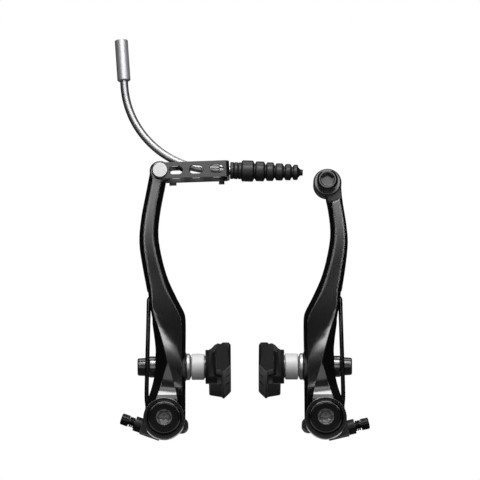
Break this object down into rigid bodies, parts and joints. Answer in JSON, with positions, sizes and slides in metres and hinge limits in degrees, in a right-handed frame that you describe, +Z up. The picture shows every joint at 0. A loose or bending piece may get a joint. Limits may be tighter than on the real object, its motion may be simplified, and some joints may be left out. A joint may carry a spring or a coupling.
{
  "type": "v-brake",
  "caption": "Linear-pull rim brake with sculpted arms on boss pivots, a folded link with a bent cable guide and rubber boot, side return springs and threaded brake shoes.",
  "frame": {"origin": "axis of the left frame boss at the seat of the boss, where the left bushing's rear face stands", "axes": "+X across to the right boss, +Y back into the bicycle's frame along the boss, +Z up along the arms"},
  "size_m": [0.1172, 0.0714, 0.189],
  "materials": {
    "arm_paint": "satin black paint",
    "black_bolt": "black oxide",
    "black_cap": "black oxide",
    "black_nut": "black oxide",
    "clamp_bolt": "black oxide",
    "bushing_steel": "zinc plated",
    "post_steel": "zinc plated",
    "spring_steel": "gloss black",
    "holder_plastic": "moulded black",
    "adjuster_steel": "black oxide",
    "pad_rubber": "moulded",
    "spacer_alloy": "bead blasted",
    "dome_steel": "turned",
    "washer_steel": "stamped",
    "link_metal": "dark satin",
    "pin_silver": "bright",
    "guide_steel": "polished",
    "ferrule_alloy": "brushed",
    "nose_steel": "turned",
    "liner_plastic": "moulded white",
    "boot_rubber": "matte"
  },
  "bodies": {
    "bosses": {"left_pivot_bushing": "bushing_steel", "left_pivot_bolt": "black_bolt", "left_pivot_cap": "black_cap", "left_spring_holder": "holder_plastic", "left_stop_pin": "bushing_steel", "left_adjuster_spring": "spring_steel", "right_pivot_bushing": "bushing_steel", "right_pivot_bolt": "black_bolt", "right_pivot_cap": "black_cap", "right_spring_holder": "holder_plastic", "right_stop_pin": "bushing_steel", "right_adjuster_spring": "spring_steel"},
    "left_arm": {"left_arm": "arm_paint", "left_return_spring": "spring_steel", "left_brake_pad": "pad_rubber", "left_shoe_post": "post_steel", "left_shoe_spacer": "spacer_alloy", "left_dome_washer": "dome_steel", "left_nut_washer": "black_nut", "left_shoe_nut": "black_nut", "link_pin": "pin_silver"},
    "right_arm": {"right_arm": "arm_paint", "right_return_spring": "spring_steel", "right_brake_pad": "pad_rubber", "right_shoe_post": "post_steel", "right_shoe_spacer": "spacer_alloy", "right_dome_washer": "dome_steel", "right_nut_washer": "black_nut", "right_shoe_nut": "black_nut", "cable_bolt": "clamp_bolt", "cable_washer": "washer_steel"},
    "link": {"link": "link_metal"},
    "guide": {"guide_tube": "guide_steel", "guide_ferrule": "ferrule_alloy", "guide_nose": "nose_steel", "guide_liner": "liner_plastic", "cable_boot": "boot_rubber"},
    "left_adjuster": {"left_adjuster_screw": "adjuster_steel"},
    "right_adjuster": {"right_adjuster_screw": "adjuster_steel"}
  },
  "joints": [
    {"name": "left_arm_swing", "type": "hinge", "parent": "bosses", "child": "left_arm", "pos_m": [0, -0.013, 0], "axis": [0, 1, 0], "range_deg": [-25, 1.2], "stiffness_Nm_per_rad": 0.9, "deforming": ["left_return_spring"]},
    {"name": "right_arm_swing", "type": "hinge", "parent": "bosses", "child": "right_arm", "pos_m": [0.074, -0.013, 0], "axis": [0, -1, 0], "range_deg": [-25, 1.2], "stiffness_Nm_per_rad": 0.9, "deforming": ["right_return_spring"]},
    {"name": "link_swing", "type": "hinge", "parent": "left_arm", "child": "link", "pos_m": [-0.0018, -0.013, 0.1162], "axis": [0, 1, 0], "range_deg": [-25, 70]},
    {"name": "guide_turn", "type": "hinge", "parent": "link", "child": "guide", "pos_m": [0.02988, -0.013, 0.11724], "axis": [0.9995, 0, -0.0332], "range_deg": [-20, 20]},
    {"name": "left_adjuster_turn", "type": "hinge", "parent": "bosses", "child": "left_adjuster", "pos_m": [-0.00149, -0.0042, -0.0041], "axis": [-0.9397, 0, 0.342], "range_deg": [-180, 180]},
    {"name": "right_adjuster_turn", "type": "hinge", "parent": "bosses", "child": "right_adjuster", "pos_m": [0.07498, -0.0042, -0.00425], "axis": [0.9744, 0, 0.225], "range_deg": [-180, 180]}
  ]
}
